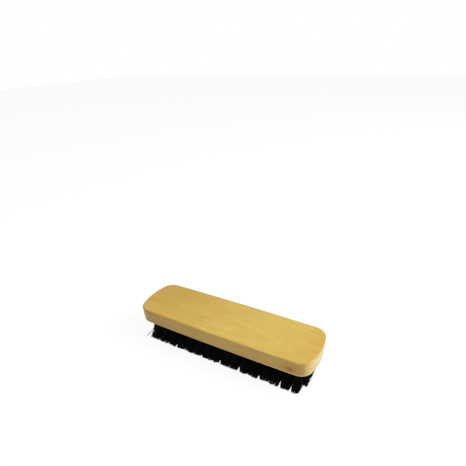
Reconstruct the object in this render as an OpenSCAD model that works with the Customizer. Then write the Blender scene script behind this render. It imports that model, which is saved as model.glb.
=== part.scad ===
// Shoe shine brush: a lacquered wooden block with tufts of black hair set in its underside.
// The length runs along X and the width along Y, and the tips of the hair stand on Z = 0.
// All sizes are in millimetres.

/* [Block] */
// Length of the block at its middle
block_l = 165; // [162:1:200]
// Width of the block at its middle
block_w = 47.6; // [46:0.2:60]
// Thickness of the block
block_t = 13.2; // [11:0.2:20]
// Bow of each long side: how much narrower the block gets from its middle to its ends
side_bow = 0.9; // [0.4:0.1:2]
// Bow of each end: how much shorter the block gets from its middle to its sides
end_bow = 5; // [3:0.1:7]
// Radius of the four corners, seen from above
corner_r = 11.5; // [8:0.5:14]
// How far the sides lean in from the top to the underside
lean_in = 0.8; // [0:0.1:1.5]
// Rounding of the top arris
top_round = 1.2; // [0.4:0.1:2]
// Rounding of the bottom arris
bottom_round = 0.6; // [0.3:0.1:1]

/* [Drilled holes] */
// Number of holes across the width
rows = 5; // [3:2:5]
// Number of holes along the length
columns = 17; // [9:2:17]
// Distance between rows
row_pitch = 8.6; // [8.4:0.1:9]
// Distance between the first and last holes of a full row
field_l = 142.8; // [140:0.2:146]
// Number of holes that the two outer rows leave out at the -X end
left_out = 1; // [0:1:2]
// Diameter of each hole
hole_d = 4.2; // [3.6:0.1:4.6]
// Depth of each hole
hole_depth = 8.5; // [6:0.5:9]

/* [Tufts of hair] */
// Length of hair that stands out of the block
hair_l = 17; // [12:0.5:30]
// How much a tuft spreads: distance of each strand's tip from the tuft's middle, each way
spread = 2.05; // [1.9:0.05:2.1]
// Half the width of a strand at its tip
tip_half_w = 1.6; // [1:0.05:1.65]
// Outward lean of the tips at the block's sides and ends
splay = 1.8; // [0:0.1:3]
// Sideways lean that gathers neighbouring columns in pairs
pair_lean = 0.25; // [0:0.05:0.25]
// Depth of the cut that trims the longest tips level
trim_cut = 0.5; // [0.3:0.1:1]
// How far the shortest tips stay above the trimmed ones
uneven = 1.3; // [0:0.1:2]

/* [Anchors] */
// Height of the flat wire that holds each tuft at the bottom of its hole
anchor_h = 1.8; // [1.2:0.1:2.4]
// Thickness of the flat wire
anchor_t = 0.35; // [0.25:0.05:0.5]
// Gap between the end of the wire and the wall of the hole
anchor_gap = 0.1; // [0.08:0.01:0.3]

/* [Hidden] */
half_l = block_l / 2;
half_w = block_w / 2;
// Radii of the long arcs that bow the sides and the ends
side_r = (half_l * half_l + side_bow * side_bow) / (2 * side_bow);
end_r = (half_w * half_w + end_bow * end_bow) / (2 * end_bow);
side_centre = [0, half_w - side_r];
end_centre = [half_l - end_r, 0];
// The corner arc touches both long arcs from inside, so its centre is where two circles meet
centre_gap = norm(end_centre - side_centre);
to_side = side_r - corner_r;
to_end = end_r - corner_r;
along = (centre_gap * centre_gap + to_side * to_side - to_end * to_end) / (2 * centre_gap);
across = sqrt(to_side * to_side - along * along);
unit = (end_centre - side_centre) / centre_gap;
corner_centre = side_centre + unit * along + [unit[1], -unit[0]] * across;
side_angle = direction(corner_centre - side_centre);
end_angle = direction(corner_centre - end_centre);
// Number of straight pieces in a quarter of the outline: end, corner and side
end_steps = 4;
corner_steps = 9;
side_steps = 5;
// Number of straight pieces across the roundings of the arrises
top_steps = 4;
bottom_steps = 3;

// A hole has this many flat sides round it
hole_sides = 12;

// The tuft fills its hole up to the wire, with a little play inside the hole's flat sides
plug_play = 0.03;
plug_r = hole_d / 2 * cos(180 / hole_sides) - plug_play;
plug_l = hole_depth - anchor_h;
rim_sides = 8;
strands = 4;
// A strand has a ring of corners halfway down and one at its tip
mid_height = 0.5;
mid_share = 0.4;
// How much wider a strand is at its middle than a straight taper would leave it
mid_swell = 0.05;

// Columns are numbered from the -X end, and a name is the piece and the number of its column
COLUMN_NUMBERS = [for (c = [1:columns]) c];

function column_name(piece, c) = str(piece, c < 10 ? "_0" : "_", c);

// Angle of a flat vector, in degrees
function direction(v) = atan2(v[1], v[0]);

// Point at an angle on a circle
function on_circle(centre, r, angle) = centre + r * [cos(angle), sin(angle)];

// Value between two others
function mix(a, b, share) = a + (b - a) * share;

// Points of one quarter of the outline, from the middle of the end to the middle of the side.
// An inset draws the same arcs with smaller radii, which keeps the same distance all round.
function quarter(inset) = concat(
    [for (i = [0:end_steps - 1])
        on_circle(end_centre, end_r - inset, end_angle * i / end_steps)],
    [for (i = [0:corner_steps - 1])
        on_circle(corner_centre, corner_r - inset, mix(end_angle, side_angle, i / corner_steps))],
    [for (i = [0:side_steps])
        on_circle(side_centre, side_r - inset, mix(side_angle, 90, i / side_steps))]
);

// Whole outline, anticlockwise from above, by mirroring the quarter
function outline(inset) =
    let (q = quarter(inset), last = len(q) - 1)
    concat(
        [for (i = [0:last - 1]) q[i]],
        [for (i = [last:-1:1]) [-q[i][0], q[i][1]]],
        [for (i = [0:last - 1]) -q[i]],
        [for (i = [last:-1:1]) [q[i][0], -q[i][1]]]
    );

// Section of the block's edge from the underside to the top: [inset, height] pairs
function edge_profile() = concat(
    [for (i = [0:bottom_steps])
        let (a = 90 * i / bottom_steps)
        [lean_in + bottom_round * (1 - sin(a)), bottom_round * (1 - cos(a))]],
    [for (i = [0:top_steps])
        let (a = 90 * i / top_steps)
        [top_round * (1 - cos(a)), block_t - top_round * (1 - sin(a))]]
);

// Side faces between rings of corners that are listed one after another
function ring_faces(rings, n) = [
    for (r = [0:rings - 2])
        for (i = [0:n - 1])
            let (j = (i + 1) % n, low = r * n, high = low + n)
            each [[high + i, high + j, low + j], [high + i, low + j, low + i]]
];

// The block before drilling: rings of the outline stacked along the edge's section
module block_blank() {
    rings = edge_profile();
    n = len(outline(0));
    points = [for (p = rings) for (q = outline(p[0])) [q[0], q[1], hair_l + p[1]]];
    underside = [for (i = [0:n - 1]) i];
    top = [for (i = [n - 1:-1:0]) (len(rings) - 1) * n + i];
    polyhedron(points, concat([underside, top], ring_faces(len(rings), n)), convexity = 4);
}

// Whole numbers or halves that count from the middle of a row or column of holes
function middle_out(count) = [for (i = [0:count - 1]) i - (count - 1) / 2];

// Place of a hole, seen from above: c counts columns and r counts rows, both from the middle
function hole_place(c, r) = [field_l * c / (columns - 1), r * row_pitch];

// Rows that have a hole in column c: the outer rows start later at the -X end
function rows_at(c) =
    let (outer = (rows - 1) / 2, first = left_out - (columns - 1) / 2)
    [for (r = middle_out(rows)) if (abs(r) < outer || c >= first) r];

module block() {
    color("#d3b05c")
        difference() {
            block_blank();
            for (c = middle_out(columns))
                for (r = rows_at(c))
                    translate([hole_place(c, r)[0], hole_place(c, r)[1], hair_l - 1])
                        cylinder(d = hole_d, h = hole_depth + 1, $fn = hole_sides);
        }
}

// Corners of one strand where it leaves the hole: the tuft's middle and three on the rim
function root_corners(s) = concat(
    [[0, 0]],
    [for (k = [0:2]) on_circle([0, 0], plug_r, (2 * s + k) * 360 / rim_sides)]
);

// Corners of one strand at its tip: a square around a point on the quarter's diagonal
function tip_corners(s, shift, turn) =
    let (
        diagonal = 90 * s + 45,
        middle = on_circle([0, 0], spread * sqrt(2), diagonal) + shift
    )
    [for (a = [180, -90, 0, 90]) on_circle(middle, tip_half_w * sqrt(2), diagonal + a + turn)];

// Lean of a whole tuft at its tips: outward near the edges, and towards its pair
function tuft_lean(place, c) =
    let (pair = (round(c + (columns - 1) / 2) % 2 == 1) ? 1 : -1)
    [place[0] / half_l * splay + pair * pair_lean, place[1] / half_w * splay];

// One tuft: a plug of packed hair that fills the hole, and four strands that grow from it.
// The plug's lower face is cut in four sectors, and each sector carries on down as one strand.
module tuft(place, c, seed) {
    luck = rands(-1, 1, 6 * strands, seed);
    lean = tuft_lean(place, c);
    tip_z = [for (s = [0:strands - 1]) mix(-trim_cut, uneven, (luck[s] + 1) / 2)];
    tips = [for (s = [0:strands - 1])
        let (shift = lean + 0.14 * [luck[strands + s], luck[2 * strands + s]])
        tip_corners(s, shift, 5 * luck[3 * strands + s])];
    mids = [for (s = [0:strands - 1])
        let (
            root = root_corners(s),
            straight = [for (k = [0:3]) mix(root[k], tips[s][k], mid_share)],
            middle = (straight[0] + straight[2]) / 2
        )
        [for (p = straight) mix(middle, p, 1 + mid_swell)]];
    plug = [for (z = [hair_l + plug_l, hair_l]) for (k = [0:rim_sides - 1])
        let (p = on_circle([0, 0], plug_r, k * 360 / rim_sides))
        [p[0], p[1], z]];
    strand_points = [for (s = [0:strands - 1]) each concat(
        [for (p = mids[s]) [p[0], p[1], hair_l * mid_height]],
        [for (k = [0:3])
            let (slant = 0.25 * luck[4 * strands + s] * [1, 0, -1, 0][k])
            [tips[s][k][0], tips[s][k][1], max(0, tip_z[s] + slant)]]
    )];
    points = concat(plug, [[0, 0, hair_l]], strand_points);
    translate([place[0], place[1], 0])
        polyhedron(points, tuft_faces(), convexity = 6);
}

// Faces of a tuft, all triangles. The corners are numbered as tuft() lists them.
function tuft_faces() =
    let (n = rim_sides, centre = 2 * n)
    concat(
        [for (k = [1:n - 2]) [0, k + 1, k]],
        [for (k = [0:n - 1])
            let (j = (k + 1) % n)
            each [[k, j, n + j], [k, n + j, n + k]]],
        [for (s = [0:strands - 1])
            let (
                root = [centre, n + 2 * s, n + 2 * s + 1, n + (2 * s + 2) % n],
                first = centre + 1 + 8 * s,
                mid = [for (k = [0:3]) first + k],
                tip = [for (k = [0:3]) first + 4 + k]
            )
            each concat(strand_sides(root, mid), strand_sides(mid, tip),
                [[tip[0], tip[1], tip[2]], [tip[0], tip[2], tip[3]]])]
    );

// Side faces of a strand between an upper and a lower ring of four corners
function strand_sides(upper, lower) = [
    for (k = [0:3])
        let (j = (k + 1) % 4)
        each [[upper[k], upper[j], lower[j]], [upper[k], lower[j], lower[k]]]
];

// One crosswise column of tufts
module tufts(number) {
    c = middle_out(columns)[number - 1];
    color("#161514")
        for (r = rows_at(c))
            tuft(hole_place(c, r), c, 100 * number + r);
}

// One crosswise column of anchors: a flat wire on edge across the bottom of each hole
module anchors(number) {
    c = middle_out(columns)[number - 1];
    anchor_l = hole_d - 2 * anchor_gap;
    color("#a9aaa8")
        for (r = rows_at(c))
            translate([hole_place(c, r)[0], hole_place(c, r)[1], hair_l + hole_depth - anchor_h / 2])
                cube([anchor_l, anchor_t, anchor_h], center = true);
}

block();
for (c = COLUMN_NUMBERS) {
    tufts(c);
    anchors(c);
}
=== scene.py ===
"""Shoe shine brush: a lacquered wooden block with machine-set tufts of black horsehair.

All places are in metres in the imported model's own frame: the length runs along X, the
width along Y, and the tips of the hair stand on Z = 0.
"""
import math

import bpy
import numpy as np
from bpy.props import FloatProperty, FloatVectorProperty, IntProperty, PointerProperty
from mathutils import Matrix, Vector, geometry


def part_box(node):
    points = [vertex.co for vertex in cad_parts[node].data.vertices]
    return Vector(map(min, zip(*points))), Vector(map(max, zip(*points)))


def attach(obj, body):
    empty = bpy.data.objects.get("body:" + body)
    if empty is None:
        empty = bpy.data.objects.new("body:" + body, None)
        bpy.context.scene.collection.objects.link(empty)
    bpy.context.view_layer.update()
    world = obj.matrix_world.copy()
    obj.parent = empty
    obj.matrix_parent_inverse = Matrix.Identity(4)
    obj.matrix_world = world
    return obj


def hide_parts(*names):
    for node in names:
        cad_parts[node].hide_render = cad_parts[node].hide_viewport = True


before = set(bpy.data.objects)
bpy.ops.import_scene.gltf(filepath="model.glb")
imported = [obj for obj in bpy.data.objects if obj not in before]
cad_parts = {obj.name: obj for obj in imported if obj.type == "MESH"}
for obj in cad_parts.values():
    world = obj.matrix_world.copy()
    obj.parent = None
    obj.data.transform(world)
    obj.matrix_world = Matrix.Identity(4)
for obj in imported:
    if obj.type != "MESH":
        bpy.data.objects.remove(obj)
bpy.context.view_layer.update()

bl_info = {
    "name": "Shoe shine brush",
    "version": (1, 0, 0),
    "blender": (4, 5, 0),
    "location": "3D View > Sidebar > Shoe brush",
    "description": "Builds the visible pieces of a shoe shine brush over its packed solids",
    "category": "Object",
}

MM = 0.001
BLOCK_LOW, BLOCK_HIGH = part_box("block")
UNDERSIDE = BLOCK_LOW.z
TOP = BLOCK_HIGH.z
ROWS = 5
COLUMNS = 17
# Columns at the -X end in which the two outer rows have no hole
LEFT_OUT = 1
GOLDEN_ANGLE = math.pi * (3 - math.sqrt(5))

# Notches in the near row's tips: the column before each one, from the -X end, and its width
NEAR_NOTCHES = {3: 0.7 * MM, 4: 1.2 * MM, 7: 1.3 * MM, 9: 1.6 * MM, 11: 2.7 * MM,
                13: 2.3 * MM, 15: 2.5 * MM, 16: 1.7 * MM}
# Tips of two stray locks at the -X end of the near row, and how many hairs are in each
STRAY_TIPS = np.array([(-70.2, -22.9, 0.3), (-74.4, -23.2, 0.3)]) * MM
STRAY_HAIRS = 3

# Photograph: its width in pixels, and the lens and place of the camera that took it
PHOTO_WIDTH = 466
FOCAL_PIXELS = 398.764
CAMERA_AZIMUTH = 30.673
CAMERA_ELEVATION = 25.1
CAMERA_ROLL = -2.291
CAMERA_DISTANCE = 341.2 * MM
PICTURE_CENTRE = (233.0, 233.0)
BLOCK_CENTRE_PIXEL = (228.5, 324.35)
SENSOR_WIDTH = 36.0


def srgb(code):
    """Linear colour with alpha from an sRGB hex code, by the sRGB curve's own formula."""
    values = [int(code[i:i + 2], 16) / 255 for i in (1, 3, 5)]
    return tuple(v / 12.92 if v <= 0.04045 else ((v + 0.055) / 1.055) ** 2.4
                 for v in values) + (1.0,)


def length(name, description, millimetres):
    """A size in metres that a user can change, given in millimetres."""
    return FloatProperty(name=name, description=description, default=millimetres * MM,
                         min=0.0, unit="LENGTH", subtype="DISTANCE", precision=5)


def colour(name, description, code):
    """A colour that a user can change, given as an sRGB hex code."""
    return FloatVectorProperty(name=name, description=description, default=srgb(code),
                               size=4, min=0.0, max=1.0, subtype="COLOR")


def share(name, description, value, high=1.0):
    """A plain number that a user can change."""
    return FloatProperty(name=name, description=description, default=value, min=0.0, max=high,
                         precision=4)


class BlockSizes(bpy.types.PropertyGroup):
    """Sizes of the wooden block and of its holes"""
    side_bow: length("Side bow", "How much narrower the block gets towards its ends", 0.9)
    end_bow: length("End bow", "How much shorter the block gets towards its sides", 5.0)
    corner: length("Corner radius", "Radius of the four corners, seen from above", 11.5)
    lean_in: length("Lean", "How far the sides lean in from the top to the underside", 0.8)
    top_round: length("Top arris", "Rounding of the top arris", 1.2)
    bottom_round: length("Bottom arris", "Rounding of the bottom arris", 0.6)
    row_pitch: length("Row pitch", "Distance between rows of holes", 8.6)
    field: length("Field length", "From the first to the last hole of a full row", 142.8)
    hole: length("Hole diameter", "Diameter of each drilled hole", 4.2)
    hole_depth: length("Hole depth", "Depth of each drilled hole", 8.5)


class HairSizes(bpy.types.PropertyGroup):
    """Sizes of the hair and of its scatter"""
    hairs: IntProperty(name="Hairs", description="Number of hairs in a tuft", default=380,
                       min=20, max=600)
    thick: length("Thickness", "Thickness of a hair where it leaves its hole", 0.26)
    tip_thick: length("Tip thickness", "Thickness of a hair at its tip", 0.38)
    packed: length("Packed radius", "Radius of the packed tuft in its hole", 1.9)
    overlap: length("Overlap", "How far neighbouring tufts reach into each other", 0.5)
    splay: length("Splay", "Outward lean of the tips at the block's edges", 1.8)
    sway: length("Sway", "Most that a tuft of the inner and far rows leans along X", 0.36)
    near_lean: length("Near lean", "How far the near row's tips lean towards -X", 0.7)
    end_lean: length("End lean", "How much more the tuft at its -X end leans", 1.7)
    near_out: length("Near splay", "How much more the near row's tips lean outward", 0.7)
    stray: length("Stray", "Most that a stray hair stands out of its tuft", 2.6)
    scatter: length("Scatter", "Usual sideways scatter of a tip", 0.12)
    wave: length("Wave", "Usual height of the bend in the middle of a hair", 0.35)
    uneven: length("Uneven tips", "Usual difference in the length of the hairs", 0.08)
    lock_uneven: length("Uneven locks", "Most that a whole lock of a tuft ends short", 1.0)
    anchored: length("Anchor height", "Height of the flat wire over a tuft", 1.8)
    squareness: share("Squareness", "0 leaves a tuft's tips round, 1 fills its whole cell", 0.85)
    pull: share("Locks", "How far hairs gather into the locks of their tuft", 0.15)


class BrushColours(bpy.types.PropertyGroup):
    """Colours of the wood, the hair, the wire and the floor"""
    wood_gold: colour("Golden wood", "Deeper tone of the lacquered wood", "#D2A943")
    wood_pale: colour("Pale wood", "Lighter tone of the lacquered wood", "#E2C25E")
    # Late wood of the growth rings, also painted shade on the sides towards -X
    wood_late_and_shade: colour("Late wood", "Darker late wood of the growth rings", "#B98A33")
    wood_side: colour("Side wood", "Tone of the sides, sawn along the fibres", "#D6B05E")
    wood_blush: colour("Blush", "Paler, pinkish streaks of the sides", "#DFBD80")
    # Sanded end grain, painted paler also as light on the end faces
    wood_end_grain_and_light: colour("End wood", "Tone of the sanded end grain", "#F2D886")
    # Painted highlight along the bottom arris towards +X and in dashes along the top arris
    wood_edge_highlight: colour("Rubbed wood", "Arrises where the lacquer has rubbed thin", "#F2DFA8")
    # Painted light on the end faces, growing towards their far side
    wood_end_lit: colour("Pale end wood", "Tone of the end grain away from the near corner",
                          "#ECDCA0")
    wood_knot: colour("Knot", "Brown heart of a pin knot", "#80541C")
    wood_halo: colour("Knot halo", "Warm stain in the wood round a knot", "#CE8C34")
    # Painted shade on the rounded edge of the top at the ends
    wood_arris_shade: colour("Arris", "Wood along the rounded edge of the top at the ends", "#B59C4C")
    wood_fleck: colour("Fleck", "Pale fleck in the grain", "#F0E2A8")
    hair: colour("Hair", "Black horsehair", "#040404")
    hair_worn: colour("Lit hair", "The few lighter hairs", "#0D0C0B")
    wire: colour("Wire", "Drawn steel wire", "#B6B5B0")
    floor: colour("Floor", "What the floor throws back on the brush", "#A0A0A0")


class StudioLevels(bpy.types.PropertyGroup):
    """Strength and place of the light"""
    key: share("Key light", "Brightness that the key gives a white face turned to it", 0.9, 4.0)
    fill: share("Fill light", "Brightness that the fill gives a white face turned to it", 0.24,
                4.0)
    sky: share("Sky light", "Even light from all round", 0.35, 2.0)
    lamp_size: FloatProperty(name="Lamp size", description="Width of the soft square lamps",
                             default=0.7, min=0.05, unit="LENGTH", subtype="DISTANCE")
    lamp_distance: FloatProperty(name="Lamp distance", description="From the brush to a lamp",
                                 default=1.2, min=0.2, unit="LENGTH", subtype="DISTANCE")
    floor_glow: share("Floor glow", "Share of the floor's white that no shadow darkens", 0.9)
    floor_shade: share("Floor shade", "Share of the floor's white that shadows darken", 0.16)


def put_mesh(name, points, faces, material, smooth_angle=None, tones=None):
    """Makes a piece from its points and faces, smooth-shaded up to an angle between faces."""
    mesh = bpy.data.meshes.new(name)
    mesh.from_pydata(points.tolist(), [], faces)
    mesh.polygons.foreach_set("use_smooth", np.ones(len(mesh.polygons), bool))
    if smooth_angle is not None:
        mesh.set_sharp_from_angle(angle=smooth_angle)
    if tones is not None:
        mesh.attributes.new("tone", "FLOAT", "POINT").data.foreach_set("value", tones)
    mesh.materials.append(material)
    mesh.update()
    mesh.validate()
    piece = bpy.data.objects.new(name, mesh)
    bpy.context.scene.collection.objects.link(piece)
    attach(piece, "root")
    return piece


def add(tree, kind, inputs=None, **settings):
    """Adds a node: settings are its own choices, inputs are values or links for its sockets."""
    node = tree.nodes.new(kind)
    for name, value in settings.items():
        setattr(node, name, value)
    for socket, value in (inputs or {}).items():
        if isinstance(value, bpy.types.NodeSocket):
            tree.links.new(value, node.inputs[socket])
        else:
            node.inputs[socket].default_value = value
    return node


def new_material(name):
    """An empty material with its node tree and output node."""
    material = bpy.data.materials.new(name)
    material.use_nodes = True
    tree = material.node_tree
    tree.nodes.clear()
    return material, tree, tree.nodes.new("ShaderNodeOutputMaterial")


# Shape of the block

# Steps of a quarter outline along its end, corner and side
QUARTER_STEPS = (8, 18, 24)
ARRIS_STEPS = 6
FLAT_MARGIN = 0.4 * MM
HOLE_SIDES = 24
SMOOTH_ANGLE = math.radians(40)
# The underside gets triangles inside its loops only, and points closer than this are one
INSIDE_ONLY = 1
POINT_GAP = 1e-9


def quarter_outline(sizes):
    """Points and outward directions of a quarter of the outline, from end to side.

    Three arcs meet smoothly. The end's arc and the side's arc are long ones whose radius
    follows from chord and bow, (half chord squared + bow squared) / (2 bow). The corner's
    arc touches both from inside, so its centre lies where two circles round their centres
    meet, with the corner's radius taken off each.
    """
    half_l, half_w = BLOCK_HIGH.x, BLOCK_HIGH.y
    side_r = (half_l ** 2 + sizes.side_bow ** 2) / (2 * sizes.side_bow)
    end_r = (half_w ** 2 + sizes.end_bow ** 2) / (2 * sizes.end_bow)
    side_centre = np.array([0.0, half_w - side_r])
    end_centre = np.array([half_l - end_r, 0.0])
    apart = end_centre - side_centre
    gap = np.hypot(*apart)
    to_side, to_end = side_r - sizes.corner, end_r - sizes.corner
    along = (gap ** 2 + to_side ** 2 - to_end ** 2) / (2 * gap)
    across = math.sqrt(to_side ** 2 - along ** 2)
    corner_centre = (side_centre + apart / gap * along
                     + np.array([apart[1], -apart[0]]) / gap * across)
    side_turn = math.atan2(*(corner_centre - side_centre)[::-1])
    end_turn = math.atan2(*(corner_centre - end_centre)[::-1])
    ends = (0.0, end_turn, side_turn, math.pi / 2)
    turns, points = [], []
    for centre, r, first, last, steps in zip(
            (end_centre, corner_centre, side_centre), (end_r, sizes.corner, side_r),
            ends[:-1], ends[1:], QUARTER_STEPS):
        turn = np.linspace(first, last, steps, endpoint=False)
        turns.append(turn)
        points.append(centre + r * np.stack([np.cos(turn), np.sin(turn)], -1))
    turns = np.append(np.concatenate(turns), math.pi / 2)
    points = np.vstack([*points, [0.0, half_w]])
    return points, np.stack([np.cos(turns), np.sin(turns)], -1)


def mirrored(quarter):
    """The whole outline, anticlockwise, from its quarter: mirrored in Y, in both, and in X."""
    back = quarter[::-1]
    return np.vstack([quarter[:-1], back[:-1] * (-1, 1), -quarter[:-1], back[:-1] * (1, -1)])


def edge_section(sizes):
    """Inset and height of each ring of the block, from the underside to the top.

    A quarter circle rounds each arris and the leaning side runs straight between them. A
    ring a little further in on both flat faces keeps them flat where they are shaded.
    """
    turn = np.linspace(0, math.pi / 2, ARRIS_STEPS + 1)
    low, high = sizes.bottom_round, sizes.top_round
    inset = np.concatenate([
        [sizes.lean_in + low + FLAT_MARGIN], sizes.lean_in + low * (1 - np.sin(turn)),
        high * (1 - np.cos(turn)), [high + FLAT_MARGIN]])
    height = np.concatenate([
        [UNDERSIDE], UNDERSIDE + low * (1 - np.cos(turn)),
        TOP - high * (1 - np.sin(turn)), [TOP]])
    return inset, height


def hole_places(sizes):
    """Middles of the holes on a straight grid, as an array of columns by rows by (x, y)."""
    x = sizes.field * np.linspace(-0.5, 0.5, COLUMNS)
    y = sizes.row_pitch * (np.arange(ROWS) - (ROWS - 1) / 2)
    return np.stack(np.meshgrid(x, y, indexing="ij"), -1)


def drilled():
    """Which places of the grid have a hole, as an array of columns by rows."""
    mask = np.ones((COLUMNS, ROWS), bool)
    mask[:LEFT_OUT, [0, -1]] = False
    return mask


def underside_faces(flat, edge_count, holes):
    """Triangles between the edge ring and the mouths of the holes, facing down."""
    loops = [list(range(edge_count))]
    loops += [list(range(s, s + HOLE_SIDES))
              for s in range(edge_count, edge_count + holes * HOLE_SIDES, HOLE_SIDES)]
    found = geometry.delaunay_2d_cdt([Vector(p) for p in flat.tolist()], [], loops,
                                     INSIDE_ONLY, POINT_GAP)
    source = np.array([ids[0] for ids in found[3]])
    inside = [f for f, owners in zip(found[2], found[5]) if owners == [0]]
    faces = source[np.array(inside)]
    a, b, c = flat[faces[:, 0]], flat[faces[:, 1]], flat[faces[:, 2]]
    turn = (b - a)[:, 0] * (c - a)[:, 1] - (b - a)[:, 1] * (c - a)[:, 0]
    faces[turn > 0] = faces[turn > 0][:, ::-1]
    return faces


def block_surface(sizes):
    """Points and faces of the drilled block.

    Side: point(u, v) = outline(u) - inset(v) * direction(u), at height(v). Top: strips
    between the far and near points of the last ring. Underside: flat, with a round mouth
    for each hole, whose wall goes straight up to its flat end.
    """
    outline, outward = (mirrored(part) for part in quarter_outline(sizes))
    inset, height = edge_section(sizes)
    n, rings = len(outline), len(inset)
    flat = outline - inset[:, None, None] * outward
    side = np.concatenate(
        [flat, np.broadcast_to(height[:, None, None], (rings, n, 1))], -1).reshape(-1, 3)
    low = np.arange(rings - 1)[:, None] * n + np.arange(n)
    ahead = np.arange(rings - 1)[:, None] * n + (np.arange(n) + 1) % n
    quads = np.stack([low, ahead, ahead + n, low + n], -1).reshape(-1, 4).tolist()
    last = (rings - 1) * n
    i = np.arange(1, n // 2 - 1)
    quads += (last + np.stack([i, i + 1, n - i - 1, n - i], -1)).tolist()
    triangles = [[last, last + 1, last + n - 1],
                 [last + n // 2 - 1, last + n // 2, last + n // 2 + 1]]

    places = hole_places(sizes)[drilled()]
    turn = np.arange(HOLE_SIDES) * 2 * math.pi / HOLE_SIDES
    rim = sizes.hole / 2 * np.stack([np.cos(turn), np.sin(turn)], -1)
    circles = places[:, None] + rim
    levels = np.broadcast_to(np.array([UNDERSIDE, UNDERSIDE + sizes.hole_depth])[:, None],
                             (2, circles[..., 0].size))
    bores = np.dstack([np.broadcast_to(circles.reshape(1, -1, 2), (2, levels.shape[1], 2)),
                       levels[..., None]]).reshape(-1, 3)
    first = len(side)
    k = np.arange(len(places))[:, None] * HOLE_SIDES
    mouth = first + k + np.arange(HOLE_SIDES)
    mouth_ahead = first + k + (np.arange(HOLE_SIDES) + 1) % HOLE_SIDES
    deep = levels.shape[1]
    quads += np.stack([mouth, mouth + deep, mouth_ahead + deep, mouth_ahead],
                      -1).reshape(-1, 4).tolist()
    ends = (mouth + deep)[:, ::-1].tolist()

    drawn = np.concatenate([np.arange(n), mouth.reshape(-1)])
    points = np.vstack([side, bores])
    under = underside_faces(points[drawn, :2], n, len(places))
    triangles += drawn[under].tolist()
    return points, quads + triangles + ends


# Finish of the block

# Width of a year's growth and of the rings' wandering, in millimetres
YEAR_WIDTH = 1.3
RING_WANDER = 4.5
# Degrees by which the pith turns from the length, seen from above and from the side. The
# places below are in millimetres
PITH_PLAN_TURN = 3.0
PITH_TILT = 7.5
PITH_NEAR_END = (73.0, -13.0, 14.0)
KNOT_PLACE = (65.8, -23.4, 21.8)
KNOT_STRETCH = (0.6, 1.0, 1.0)
PALE_CENTRE = (30.0, -12.0, 0.0)
FLECK_PLACES = ((-14.4, -10.8, TOP / MM), (-22.7, 8.6, TOP / MM))


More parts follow.
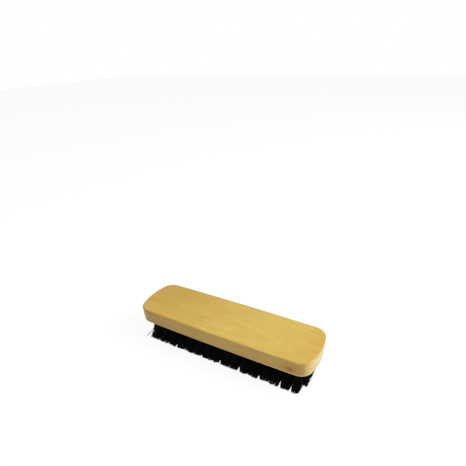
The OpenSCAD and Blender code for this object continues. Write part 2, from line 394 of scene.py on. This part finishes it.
def lacquered_hardwood(colours):
    """Pale hardwood under clear lacquer that has gone amber: sawn, sanded and dipped.

    Growth rings are cylinders round a pith that rises towards -X, so the top shows faint
    nested arches that close towards +X and the sides show long straight lines. Fibres give
    faint streaks along X. End grain is painted paler, partly for its sanding and partly as
    painted light on the end faces, and the lacquer gives a soft sheen. The colour also holds
    painted highlights along the arrises and painted shade on the sides towards -X and on the
    top arris at the ends.
    """
    material, tree, out = new_material("lacquered_hardwood")
    place = add(tree, "ShaderNodeTexCoord")

    # Millimetres, so each pattern below reads its real size
    mm = add(tree, "ShaderNodeVectorMath", {0: place.outputs["Object"], 3: 1 / MM},
             operation="SCALE").outputs[0]
    x, y, height = add(tree, "ShaderNodeSeparateXYZ", {0: mm}).outputs
    slow = add(tree, "ShaderNodeMapping", {0: mm, 3: (0.025, 0.12, 0.12)}).outputs[0]
    drift = add(tree, "ShaderNodeTexNoise", {"Vector": slow, "Scale": 1.0, "Detail": 3.0})
    wander = add(tree, "ShaderNodeVectorMath",
                 {0: drift.outputs["Color"], 1: (0.5, 0.5, 0.5)}, operation="SUBTRACT")
    wander = add(tree, "ShaderNodeVectorMath", {0: wander.outputs[0], 3: RING_WANDER},
                 operation="SCALE").outputs[0]
    warped = add(tree, "ShaderNodeVectorMath", {0: mm, 1: wander}, operation="ADD").outputs[0]

    # Distance from the pith, which passes a named point and is turned from the length
    pith = add(tree, "ShaderNodeVectorMath", {0: warped, 1: PITH_NEAR_END},
               operation="SUBTRACT").outputs[0]
    pith = add(tree, "ShaderNodeMapping",
               {0: pith, 2: (0.0, -math.radians(PITH_TILT), math.radians(PITH_PLAN_TURN))})
    across = add(tree, "ShaderNodeVectorMath", {0: pith.outputs[0], 1: (0.0, 1.0, 1.0)},
                 operation="MULTIPLY").outputs[0]
    ring = add(tree, "ShaderNodeVectorMath", {0: across}, operation="LENGTH").outputs["Value"]
    # Good and lean years: bands of uneven width, about 2 to 4 mm
    years = add(tree, "ShaderNodeTexNoise", {"W": ring, "Scale": 0.42, "Detail": 2.0},
                noise_dimensions="1D").outputs["Fac"]
    # How much of its year the wood has grown in, which ends in the late wood
    year = add(tree, "ShaderNodeMath", {0: ring, 1: YEAR_WIDTH}, operation="DIVIDE").outputs[0]
    year = add(tree, "ShaderNodeMath", {0: year}, operation="FRACT").outputs[0]

    # Clouds of tone about 20 mm across and three times as long
    cloud_place = add(tree, "ShaderNodeMapping", {0: mm, 3: (0.016, 0.05, 0.05)}).outputs[0]
    cloud = add(tree, "ShaderNodeTexNoise",
                {"Vector": cloud_place, "Scale": 1.0, "Detail": 3.0, "Roughness": 0.55})
    seen_flat = add(tree, "ShaderNodeVectorMath", {0: mm, 1: (1.0, 1.0, 0.0)},
                    operation="MULTIPLY").outputs[0]
    from_pale = add(tree, "ShaderNodeVectorMath", {0: seen_flat, 1: PALE_CENTRE},
                    operation="DISTANCE").outputs["Value"]
    # Fibres 0.7 mm apart and about 25 mm long
    fibre_place = add(tree, "ShaderNodeMapping", {0: warped, 3: (0.04, 1.4, 1.4)}).outputs[0]
    fibre = add(tree, "ShaderNodeTexNoise",
                {"Vector": fibre_place, "Scale": 1.0, "Detail": 4.0, "Roughness": 0.6})
    # Streaks of the sawn sides, 2 mm high and about 30 mm long
    saw_place = add(tree, "ShaderNodeMapping", {0: warped, 3: (0.035, 0.2, 0.55)}).outputs[0]
    saw = add(tree, "ShaderNodeTexNoise",
              {"Vector": saw_place, "Scale": 1.0, "Detail": 3.0, "Roughness": 0.6})
    # Dashes of painted highlight on the top arris: they come and go every 8 mm or so along
    # the length and every 2 mm across it
    highlight_dash_place = add(tree, "ShaderNodeMapping", {0: mm, 3: (0.12, 0.5, 0.5)}).outputs[0]
    highlight_dash_noise = add(tree, "ShaderNodeTexNoise", {"Vector": highlight_dash_place, "Scale": 1.0, "Detail": 2.0})
    # Distance from the knot, which is longer along the fibres
    knot = add(tree, "ShaderNodeVectorMath", {0: mm, 1: KNOT_PLACE},
               operation="SUBTRACT").outputs[0]
    knot = add(tree, "ShaderNodeVectorMath", {0: knot, 1: KNOT_STRETCH},
               operation="MULTIPLY").outputs[0]
    knot = add(tree, "ShaderNodeVectorMath", {0: knot}, operation="LENGTH").outputs["Value"]
    # Which way the face looks, from the surface's own direction
    facing = add(tree, "ShaderNodeSeparateXYZ", {0: place.outputs["Normal"]}).outputs
    lengthwise = add(tree, "ShaderNodeMath", {0: facing["X"]}, operation="ABSOLUTE").outputs[0]

    # Each value below eases from its third number to its fourth as the one it follows goes
    # from its first number to its second
    low = UNDERSIDE / MM
    eased = {}
    for name, value, numbers in (
            ("bands", years, (0.35, 0.68, 0.0, 0.2)),
            ("late", year, (0.6, 1.0, 0.0, 0.07)),
            # Lighter round a point near the middle, seen from above, and darker further away
            ("pale_round_middle", from_pale, (15.0, 105.0, 0.3, -0.3)),
            ("flank", facing["Z"], (0.25, 0.75, 1.0, 0.0)),
            # End faces: paler sanded end grain, partly painted light
            ("end", lengthwise, (0.5, 0.82, 0.0, 1.0)),
            # Painted light on the end faces, growing towards their far side
            ("far_end_light", y, (-20.0, -4.0, 0.0, 1.0)),
            # Painted shade on the sides towards the -X end, away from the key light
            ("left_side_shade", x, (-80.0, -25.0, 0.6, 0.0)),
            ("streak", fibre.outputs["Fac"], (0.35, 0.7, 0.0, 0.16)),
            ("saw_pale", saw.outputs["Fac"], (0.5, 0.66, 0.0, 0.4)),
            ("saw_dark", saw.outputs["Fac"], (0.34, 0.5, 0.28, 0.0)),
            # Painted highlight along the bottom arris, towards the +X end
            ("low_edge_highlight", height, (low + 0.7, low + 1.5, 0.9, 0.0)),
            ("near_end", x, (20.0, 55.0, 0.1, 1.0)),
            # Painted shade on the top arris, where it faces along X
            ("end_arris_shade", lengthwise, (0.08, 0.35, 0.0, 1.0)),
            ("not_under", facing["Z"], (-0.98, -0.8, 0.0, 1.0)),
            ("over_edge", facing["Z"], (0.35, 0.6, 0.0, 1.0)),
            ("before_top", facing["Z"], (0.85, 0.98, 1.0, 0.0)),
            ("on_top", facing["Z"], (0.9, 0.98, 0.0, 1.0)),
            ("near_side", y, (-20.0, -6.0, 1.0, 0.0)),
            ("pale_near", x, (-70.0, 10.0, 0.45, 0.0)),
            # Where the painted highlight on the top arris shows, in dashes
            ("highlight_dashes", highlight_dash_noise.outputs["Fac"], (0.45, 0.62, 0.0, 0.4)),
            ("heart", knot, (0.5, 3.4, 0.65, 0.0)),
            ("halo", knot, (2.0, 9.0, 0.55, 0.0)),
            ("sheen", cloud.outputs["Fac"], (0.3, 0.7, 0.34, 0.42))):
        sockets = dict(enumerate((value, *numbers)))
        eased[name] = add(tree, "ShaderNodeMapRange", sockets,
                          interpolation_type="SMOOTHSTEP").outputs[0]
    tone = add(tree, "ShaderNodeMath", {0: cloud.outputs["Fac"], 1: eased["pale_round_middle"]},
               operation="ADD").outputs[0]
    eased["tone"] = add(tree, "ShaderNodeMapRange", {0: tone, 1: 0.2, 2: 0.8},
                        interpolation_type="SMOOTHSTEP").outputs[0]
    # Layers that show only where two or more of the values above are high
    for name, factors in (("far_end_light", ("far_end_light", "end")), ("left_side_shade", ("left_side_shade", "flank")),
                          ("saw_pale", ("saw_pale", "flank")), ("saw_dark", ("saw_dark", "flank")),
                          ("low_edge_highlight", ("low_edge_highlight", "not_under")),
                          ("low_edge_highlight", ("low_edge_highlight", "near_end")),
                          ("near_side", ("near_side", "on_top")),
                          ("pale_near", ("pale_near", "near_side")),
                          ("top_edge", ("over_edge", "before_top")),
                          # The top arris takes painted shade where it faces along X
                          ("end_arris_shade", ("top_edge", "end_arris_shade")),
                          # The top arris keeps its painted highlight in dashes towards the +X end
                          ("top_edge", ("top_edge", "highlight_dashes")),
                          ("top_edge", ("top_edge", "near_end"))):
        eased[name] = add(tree, "ShaderNodeMath", {i: eased[f] for i, f in enumerate(factors)},
                          operation="MULTIPLY").outputs[0]
    for number, fleck_place in enumerate(FLECK_PLACES):
        fleck = add(tree, "ShaderNodeVectorMath", {0: mm, 1: fleck_place},
                    operation="DISTANCE").outputs["Value"]
        eased[f"fleck_{number}"] = add(
            tree, "ShaderNodeMapRange", {0: fleck, 1: 0.2, 2: 0.9, 3: 0.6, 4: 0.0},
            interpolation_type="SMOOTHSTEP").outputs[0]

    # Layers of colour, each laid over the ones before it. Among them are painted light on the end
    # faces, painted shade on the sides towards -X and on the top arris at the ends, and painted
    # highlights along the arrises
    body = tuple(colours.wood_gold)
    for shade, amount in (
            (colours.wood_pale, "tone"), (colours.wood_pale, "pale_near"),
            (colours.wood_side, "flank"), (colours.wood_end_grain_and_light, "end"),
            (colours.wood_end_lit, "far_end_light"), (colours.wood_late_and_shade, "left_side_shade"),
            (colours.wood_blush, "saw_pale"), (colours.wood_late_and_shade, "saw_dark"),
            (colours.wood_late_and_shade, "bands"), (colours.wood_late_and_shade, "late"),
            (colours.wood_late_and_shade, "streak"), (colours.wood_halo, "halo"),
            (colours.wood_knot, "heart"), (colours.wood_edge_highlight, "low_edge_highlight"),
            (colours.wood_edge_highlight, "top_edge"), (colours.wood_arris_shade, "end_arris_shade"),
            *((colours.wood_fleck, f"fleck_{n}") for n in range(len(FLECK_PLACES)))):
        body = add(tree, "ShaderNodeMix", {0: eased[amount], 6: body, 7: tuple(shade)},
                   data_type="RGBA").outputs[2]

    bump = add(tree, "ShaderNodeBump",
               {"Strength": 0.12, "Distance": 0.05 * MM, "Height": fibre.outputs["Fac"]})
    shader = add(tree, "ShaderNodeBsdfPrincipled",
                 {"Base Color": body, "Roughness": eased["sheen"], "IOR": 1.5,
                  "Specular IOR Level": 0.3, "Normal": bump.outputs[0],
                  "Coat Weight": 0.15, "Coat Roughness": 0.18})
    tree.links.new(shader.outputs[0], out.inputs[0])
    return material


class SHOEBRUSH_OT_block(bpy.types.Operator):
    """Make the drilled and lacquered wooden block"""
    bl_idname = "shoebrush.block"
    bl_label = "Block"

    def execute(self, context):
        points, faces = block_surface(context.scene.brush_block)
        piece = put_mesh("wooden_block", points, faces,
                         lacquered_hardwood(context.scene.brush_colours),
                         smooth_angle=SMOOTH_ANGLE)
        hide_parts("block")
        return {"FINISHED"}


# Hair

HAIR_SEED = 4100
# Points of a hair, as shares of its way down from the block. The first is its root in the hole
LEVELS = np.array([0.0, 0.0, 0.15, 0.4, 0.7, 0.86, 1.0])
# Powers of the depth below the block by which hairs fan out, lean and draw back from notches
FAN, LEAN, DRAW_BACK = 0.55, 1.5, 6.0
# Power that spreads the hairs of a tuft: 0.5 does so evenly, less crowds them to the rim
RIM_CROWDING = 0.42
# How far a tuft fans out on its free side, as a share of half its cell, at the -X end and at
# the +X end: in the near row, then in the other rows
NEAR_FREE_SIDES = (1.1, 0.5)
FREE_SIDES = (0.4, 0.7)
# Power with which the near row leans more towards its -X end
END_LEAN_POWER = 6
HAIR_SIDES = 3
# Locks of a tuft stand on a square grid, whose spacing and scatter are shares of half a cell
LOCK_ROWS = 3
LOCKS = LOCK_ROWS ** 2
LOCK_SPACING = 0.62
LOCK_SCATTER = 0.2
# Least and most of the pull of a lock, of the reach of a stray hair, and of the height of a
# root in its hole, and the sway across the brush, each as a share of its full value
LOCK_PULL = (0.3, 1.2)
STRAY_REACH = (0.2, 1.0)
ROOT_HEIGHT = (0.85, 1.0)
SWAY_ACROSS = 0.4
# Share of the hairs that stray anywhere. At either end of the brush a tuft would have some
# more, if every hair were near its outer edge: those further out than a share of its radius
# stray by that chance, in the nearest rows
STRAY_SHARE = 0.012
END_STRAYS = 9
END_STRAY_EDGE = 0.55
END_STRAY_ROWS = 2
# How much higher stray tips may end, and the highest that any tip may end
STRAY_LIFT = 2 * MM
TIP_CEILING = 4 * MM
# Room between a hair's root and the wire above it, and scatter of the tips of stray locks
ROOT_ROOM = 0.1 * MM
LOCK_TIP_SCATTER = 0.3 * MM


def tip_leans(rng, places, column, hair):
    """Lean of a column's tufts at their tips: outward, with some chance, the near row to -X."""
    here = places[column]
    lean = here / (BLOCK_HIGH.x, BLOCK_HIGH.y) * hair.splay
    lean[1:, 0] += hair.sway * rng.uniform(-1, 1, ROWS - 1)
    to_end = min(here[0, 0], 0.0) / places[LEFT_OUT, 0, 0]
    lean[0, 0] = -hair.near_lean - hair.end_lean * to_end ** END_LEAN_POWER
    lean[:, 1] += hair.sway * rng.uniform(-SWAY_ACROSS, SWAY_ACROSS, ROWS)
    lean[0, 1] -= hair.near_out
    return lean


def notch_shift(column, across):
    """How far the near tuft's tips draw back from the notches beside it, for its hairs.

    A hair at a share u of the half cell, from -1 to 1, moves by half the notch's width
    times ((1 + u) / 2) squared away from the notch after it, and likewise on the other side.
    """
    before, after = (NEAR_NOTCHES.get(column + side, 0.0) / 2 for side in (0, 1))
    return before * ((1 - across) / 2) ** 2 - after * ((1 + across) / 2) ** 2


def free_side(column, across):
    """Which hairs stand on the side of a tuft that has no neighbour along its row."""
    holes = drilled()
    before = holes[column - 1] if column > 0 else np.zeros(ROWS, bool)
    after = holes[column + 1] if column < COLUMNS - 1 else np.zeros(ROWS, bool)
    return (~before[:, None] & (across < 0)) | (~after[:, None] & (across > 0))


def hair_lines(rng, places, column, hair, sizes):
    """Middle lines of a column's hairs as an array of tufts by hairs by levels by (x, y, z).

    Roots fill a disc: the i-th of n hairs lies at radius (i + 0.5) / n to a power and turns by
    the golden angle. Tips spread over the tuft's cell, from a disc to a square, and are drawn
    towards the nearest of a few locks. In between, fanning out, leaning and drawing back
    each go with a power of the depth, and a half sine wave gives each hair its own bend.
    """
    here = places[column]
    count = hair.hairs
    index = np.arange(count)
    radius = (((index + 0.5) / count) ** RIM_CROWDING)[:, None]
    turn = index * GOLDEN_ANGLE + rng.uniform(0, 2 * math.pi, (ROWS, 1))
    way = np.stack([np.cos(turn), np.sin(turn)], -1)
    disc = radius * way
    square = disc / np.abs(way).max(-1, keepdims=True)
    spread = disc + hair.squareness * (square - disc)

    grid = (np.arange(LOCK_ROWS) - (LOCK_ROWS - 1) / 2) * LOCK_SPACING
    locks = np.stack(np.meshgrid(grid, grid), -1).reshape(1, LOCKS, 2)
    locks = locks + rng.uniform(-LOCK_SCATTER, LOCK_SCATTER, (ROWS, LOCKS, 2))
    nearest = np.linalg.norm(spread[:, :, None] - locks[:, None], axis=-1).argmin(-1)
    lock = np.take_along_axis(locks, nearest[..., None], 1)
    lock_short = np.take_along_axis(rng.uniform(0, 1, (ROWS, LOCKS)), nearest, 1)
    spread = spread + hair.pull * rng.uniform(*LOCK_PULL, (ROWS, count, 1)) * (lock - spread)

    pitch = np.stack([np.ptp(places[:, :, 0], 0) / (COLUMNS - 1),
                      np.full(ROWS, sizes.row_pitch)], -1)
    cell = (pitch / 2 + hair.overlap / 2)[:, None]
    root = here[:, None] + hair.packed * disc
    lean = tip_leans(rng, places, column, hair)[:, None]
    free = free_side(column, spread[..., 0])
    end = int(here[0, 0] > 0)
    wide = np.full((ROWS, 1), FREE_SIDES[end])
    wide[0] = NEAR_FREE_SIDES[end]
    fan = spread * np.stack([np.where(free, wide, 1.0), np.ones_like(disc[..., 0])], -1)
    tip = here[:, None] + cell * fan
    tip = tip + rng.normal(0, hair.scatter, tip.shape)
    tip_z = rng.exponential(hair.uneven, (ROWS, count)) + lock_short * hair.lock_uneven

    outward = here[:, None] / (BLOCK_HIGH.x, BLOCK_HIGH.y)
    stray = rng.random((ROWS, count)) < STRAY_SHARE
    if column in (0, COLUMNS - 1):
        rim = (disc[..., 0] * np.sign(here[:, :1])) > END_STRAY_EDGE
        rim[END_STRAY_ROWS:] = False
        stray |= rim & (rng.random((ROWS, count)) < END_STRAYS / count)
    reach = hair.stray * rng.uniform(*STRAY_REACH, (ROWS, count, 1))
    tip = tip + stray[..., None] * reach * (outward + disc) / 2
    tip_z = tip_z + stray * rng.uniform(0, STRAY_LIFT, (ROWS, count))

    drawn_back = np.zeros_like(tip)
    drawn_back[0, :, 0] = notch_shift(column, spread[0, :, 0])
    if column == LEFT_OUT:
        lock_tips = np.repeat(STRAY_TIPS, STRAY_HAIRS, 0)
        lock_tips = lock_tips + rng.uniform(0, LOCK_TIP_SCATTER, lock_tips.shape)
        strays = len(lock_tips)
        tip[0, -strays:] = lock_tips[:, :2] - lean[0]
        tip_z[0, -strays:] = lock_tips[:, 2]
        free[0, -strays:] = True
    limit = np.array([BLOCK_HIGH.x, BLOCK_HIGH.y]) - hair.thick
    tip = np.clip(tip + lean + drawn_back, -limit, limit) - lean - drawn_back
    tip_z = np.clip(tip_z, 0, TIP_CEILING)
    # One hair of each tuft reaches all the way down, so the brush stands on its tips
    tip_z[:, 0] = 0

    # A hair with a neighbour fans out soon, one on a free side runs straight to its tip
    fan_power = np.where(free, 1.0, FAN)[..., None, None]
    flat = root[:, :, None] + sum(
        move[:, :, None] * LEVELS[:, None] ** power
        for move, power in ((tip - root, fan_power), (lean, LEAN), (drawn_back, DRAW_BACK)))
    sway = rng.normal(0, hair.wave, (ROWS, count, 1, 2))
    flat = flat + sway * np.sin(math.pi * LEVELS)[:, None]
    z = UNDERSIDE + (tip_z[..., None] - UNDERSIDE) * LEVELS
    held = sizes.hole_depth - hair.anchored - ROOT_ROOM
    z[..., 0] = UNDERSIDE + held * rng.uniform(*ROOT_HEIGHT, (ROWS, count))
    return np.concatenate([flat, z[..., None]], -1)[drilled()[column]]


def hair_surface(rng, lines, hair):
    """Three-sided hairs round their middle lines, closed at both ends.

    Real horsehair is about 0.15 mm thick. Here it is coarser, so that fewer hairs fill a
    tuft, and coarsest at the tips, where they have spread apart.

    point(hair, level, side) = line(hair, level) + radius(level) * (cos a, sin a, 0),
    where a turns by a third of a circle from side to side.
    """
    lines = lines.reshape(-1, len(LEVELS), 3)
    count, levels = len(lines), len(LEVELS)
    turn = (np.arange(HAIR_SIDES) * 2 * math.pi / HAIR_SIDES
            + rng.uniform(0, 2 * math.pi, (count, 1)))
    ring = np.stack([np.cos(turn), np.sin(turn), np.zeros_like(turn)], -1)[:, None]
    radius = (hair.thick + (hair.tip_thick - hair.thick) * LEVELS) / 2
    points = lines[:, :, None] + radius[:, None, None] * ring

    base = np.arange(count)[:, None, None] * levels * HAIR_SIDES
    level = np.arange(levels - 1)[None, :, None] * HAIR_SIDES
    k = np.arange(HAIR_SIDES)[None, None]
    upper, upper_ahead = base + level + k, base + level + (k + 1) % HAIR_SIDES
    quads = np.stack([upper, upper + HAIR_SIDES, upper_ahead + HAIR_SIDES, upper_ahead], -1)
    first = base[:, 0] + np.arange(HAIR_SIDES)
    last = first + (levels - 1) * HAIR_SIDES
    faces = quads.reshape(-1, 4).tolist() + first.tolist() + last[:, ::-1].tolist()
    tones = np.repeat(rng.random(count), levels * HAIR_SIDES)
    return points.reshape(-1, 3), faces, tones


def black_horsehair(colours):
    """Dyed black horsehair, drilled in, wired and trimmed.

    Each hair has its own tone, a few being lighter, and a low, wide sheen along it.
    """
    material, tree, out = new_material("black_horsehair")
    tone = add(tree, "ShaderNodeAttribute", attribute_name="tone").outputs["Fac"]
    few = add(tree, "ShaderNodeMapRange", {0: tone, 1: 0.7, 2: 1.0}).outputs[0]
    body = add(tree, "ShaderNodeMix", {0: few, 6: tuple(colours.hair),
                                       7: tuple(colours.hair_worn)}, data_type="RGBA")
    shader = add(tree, "ShaderNodeBsdfPrincipled",
                 {"Base Color": body.outputs[2], "Roughness": 0.5, "IOR": 1.55,
                  "Specular IOR Level": 0.04})
    tree.links.new(shader.outputs[0], out.inputs[0])
    return material


class SHOEBRUSH_OT_hair(bpy.types.Operator):
    """Make the hair, one piece for each crosswise column of tufts"""
    bl_idname = "shoebrush.hair"
    bl_label = "Hair"

    def execute(self, context):
        sizes, hair = context.scene.brush_block, context.scene.brush_hair
        places = hole_places(sizes)
        material = black_horsehair(context.scene.brush_colours)
        for column in range(COLUMNS):
            rng = np.random.default_rng(HAIR_SEED + column)
            lines = hair_lines(rng, places, column, hair, sizes)
            points, faces, tones = hair_surface(rng, lines, hair)
            number = f"{column + 1:02d}"
            piece = put_mesh(f"hair_{number}", points, faces, material,
                             tones=tones)
            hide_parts(f"tufts_{number}")
        return {"FINISHED"}


# Anchors

def drawn_steel_wire(colours):
    """Flat steel wire: drawn, rolled and cut, with fine die lines along it."""
    material, tree, out = new_material("drawn_steel_wire")
    place = add(tree, "ShaderNodeTexCoord")
    # Die lines 0.05 mm apart
    lines_place = add(tree, "ShaderNodeMapping",
                      {0: place.outputs["Object"], 3: (0.2 / MM, 20 / MM, 20 / MM)})
    lines = add(tree, "ShaderNodeTexNoise", {"Vector": lines_place.outputs[0], "Scale": 1.0,
                                             "Detail": 3.0}).outputs["Fac"]
    rough = add(tree, "ShaderNodeMapRange", {0: lines, 1: 0.3, 2: 0.7, 3: 0.28, 4: 0.45})
    bump = add(tree, "ShaderNodeBump",
               {"Strength": 0.3, "Distance": 0.01 * MM, "Height": lines})
    shader = add(tree, "ShaderNodeBsdfPrincipled",
                 {"Base Color": tuple(colours.wire), "Metallic": 1.0,
                  "Roughness": rough.outputs[0], "Normal": bump.outputs[0]})
    tree.links.new(shader.outputs[0], out.inputs[0])
    return material


class SHOEBRUSH_OT_anchors(bpy.types.Operator):
    """Give the flat wires at the bottom of the holes their drawn steel finish"""
    bl_idname = "shoebrush.anchors"
    bl_label = "Anchors"

    def execute(self, context):
        material = drawn_steel_wire(context.scene.brush_colours)
        for number in range(1, COLUMNS + 1):
            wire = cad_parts[f"anchors_{number:02d}"]
            if not wire.material_slots:
                wire.data.materials.append(material)
            for place in wire.material_slots:
                place.material = material
        return {"FINISHED"}


# Studio

# Way from the brush to each lamp
LAMPS = {"key": (0.744, 0.315, 0.588), "fill": (0.2, -0.85, 0.45)}
# Half the width of the floor and the nearest and furthest that the camera sees, in metres
FLOOR_REACH = 3.0
CAMERA_RANGE = (0.01, 20.0)


def seen_directly(tree):
    """1 for what the camera sees itself, by a reflection or through glass, 0 for the rest."""
    path = add(tree, "ShaderNodeLightPath")
    either = add(tree, "ShaderNodeMath", {0: path.outputs["Is Camera Ray"],
                                          1: path.outputs["Is Glossy Ray"]}, operation="MAXIMUM")
    return add(tree, "ShaderNodeMath", {0: either.outputs[0],
                                        1: path.outputs["Is Transmission Ray"]},
               operation="MAXIMUM").outputs[0]


def pale_floor(colours, studio):
    """Plain white paper floor: white to the camera but for a faint shadow."""
    material, tree, out = new_material("white_paper_floor")
    bounce = add(tree, "ShaderNodeBsdfDiffuse", {"Color": tuple(colours.floor)})
    shade = studio.floor_shade
    lit = add(tree, "ShaderNodeBsdfDiffuse", {"Color": (shade, shade, shade, 1.0)})
    glow = add(tree, "ShaderNodeEmission", {"Strength": studio.floor_glow})
    paper = add(tree, "ShaderNodeAddShader", {0: lit.outputs[0], 1: glow.outputs[0]})
    mixed = add(tree, "ShaderNodeMixShader", {0: seen_directly(tree), 1: bounce.outputs[0],
                                              2: paper.outputs[0]})
    tree.links.new(mixed.outputs[0], out.inputs[0])
    return material


def camera_place():
    """Turn and place of the camera from its azimuth, elevation, roll and distance.

    The middle of the block shows at its own pixel, which gives the sideways offsets.
    """
    azimuth, elevation, roll = (
        math.radians(v) for v in (CAMERA_AZIMUTH, CAMERA_ELEVATION, CAMERA_ROLL))
    right = Vector((math.cos(azimuth), math.sin(azimuth), 0))
    back = Vector((math.sin(azimuth) * math.cos(elevation),
                   -math.cos(azimuth) * math.cos(elevation), math.sin(elevation)))
    up = back.cross(right)
    rolled_right = right * math.cos(roll) + up * math.sin(roll)
    rolled_up = up * math.cos(roll) - right * math.sin(roll)
    aside = (BLOCK_CENTRE_PIXEL[0] - PICTURE_CENTRE[0]) / FOCAL_PIXELS * CAMERA_DISTANCE
    above = (PICTURE_CENTRE[1] - BLOCK_CENTRE_PIXEL[1]) / FOCAL_PIXELS * CAMERA_DISTANCE
    middle = (BLOCK_LOW + BLOCK_HIGH) / 2
    eye = middle - rolled_right * aside - rolled_up * above + back * CAMERA_DISTANCE
    turn = Matrix((rolled_right, rolled_up, back)).transposed().to_4x4()
    return Matrix.Translation(eye) @ turn


class SHOEBRUSH_OT_studio(bpy.types.Operator):
    """Make the floor, the lights, the world and the camera"""
    bl_idname = "shoebrush.studio"
    bl_label = "Studio"

    def execute(self, context):
        scene, studio = context.scene, context.scene.brush_studio
        reach = FLOOR_REACH
        mesh = bpy.data.meshes.new("floor")
        mesh.from_pydata([(-reach, -reach, 0), (reach, -reach, 0), (reach, reach, 0),
                          (-reach, reach, 0)], [], [(0, 1, 2, 3)])
        mesh.materials.append(pale_floor(scene.brush_colours, studio))
        floor = bpy.data.objects.new("floor", mesh)
        scene.collection.objects.link(floor)

        for name, direction in LAMPS.items():
            lamp = bpy.data.lights.new(name, "AREA")
            lamp.size = studio.lamp_size
            # Power that gives a white face turned to the lamp the wanted brightness
            lamp.energy = getattr(studio, name) * (math.pi * studio.lamp_distance) ** 2
            light = bpy.data.objects.new(name, lamp)
            way = Vector(direction).normalized()
            light.location = (BLOCK_LOW + BLOCK_HIGH) / 2 + way * studio.lamp_distance
            light.rotation_euler = way.to_track_quat("Z", "Y").to_euler()
            scene.collection.objects.link(light)

        world = bpy.data.worlds.new("studio")
        world.use_nodes = True
        tree = world.node_tree
        tree.nodes.clear()
        sky = add(tree, "ShaderNodeBackground", {"Strength": studio.sky})
        white = add(tree, "ShaderNodeBackground", {"Strength": 1.0})
        for light in (sky, white):
            light.inputs["Color"].default_value = (1, 1, 1, 1)
        mixed = add(tree, "ShaderNodeMixShader",
                    {0: seen_directly(tree), 1: sky.outputs[0], 2: white.outputs[0]})
        add(tree, "ShaderNodeOutputWorld", {0: mixed.outputs[0]})
        scene.world = world

        lens = bpy.data.cameras.new("camera")
        lens.sensor_fit = "HORIZONTAL"
        lens.sensor_width = SENSOR_WIDTH
        lens.lens = FOCAL_PIXELS / PHOTO_WIDTH * SENSOR_WIDTH
        lens.clip_start, lens.clip_end = CAMERA_RANGE
        camera = bpy.data.objects.new("camera", lens)
        camera.matrix_world = camera_place()
        scene.collection.objects.link(camera)
        scene.camera = camera
        scene.view_settings.view_transform = "Standard"
        return {"FINISHED"}


class SHOEBRUSH_PT_panel(bpy.types.Panel):
    """Lists the pieces of the brush and the studio"""
    bl_idname = "SHOEBRUSH_PT_panel"
    bl_label = "Shoe shine brush"
    bl_space_type = "VIEW_3D"
    bl_region_type = "UI"
    bl_category = "Shoe brush"

    def draw(self, context):
        for step in OPERATORS:
            self.layout.operator(step.bl_idname, text=step.bl_label)
        for name in GROUPS:
            box = self.layout.box()
            group = getattr(context.scene, name)
            for value in group.bl_rna.properties.keys():
                if value not in ("rna_type", "name"):
                    box.prop(group, value)


OPERATORS = (SHOEBRUSH_OT_block, SHOEBRUSH_OT_hair, SHOEBRUSH_OT_anchors, SHOEBRUSH_OT_studio)
GROUPS = {"brush_block": BlockSizes, "brush_hair": HairSizes, "brush_colours": BrushColours,
          "brush_studio": StudioLevels}


def register():
    """Adds the groups of sizes to the scene, the operators and the panel."""
    for group in GROUPS.values():
        bpy.utils.register_class(group)
    for name, group in GROUPS.items():
        setattr(bpy.types.Scene, name, PointerProperty(type=group))
    for step in (*OPERATORS, SHOEBRUSH_PT_panel):
        bpy.utils.register_class(step)


def unregister():
    """Takes away what register adds, in the reverse order."""
    for step in (SHOEBRUSH_PT_panel, *reversed(OPERATORS)):
        bpy.utils.unregister_class(step)
    for name, group in GROUPS.items():
        delattr(bpy.types.Scene, name)
        bpy.utils.unregister_class(group)


def main():
    """Registers the add-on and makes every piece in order."""
    register()
    bpy.ops.shoebrush.block()
    bpy.ops.shoebrush.hair()
    bpy.ops.shoebrush.anchors()
    bpy.ops.shoebrush.studio()


if __name__ == "__main__":
    main()
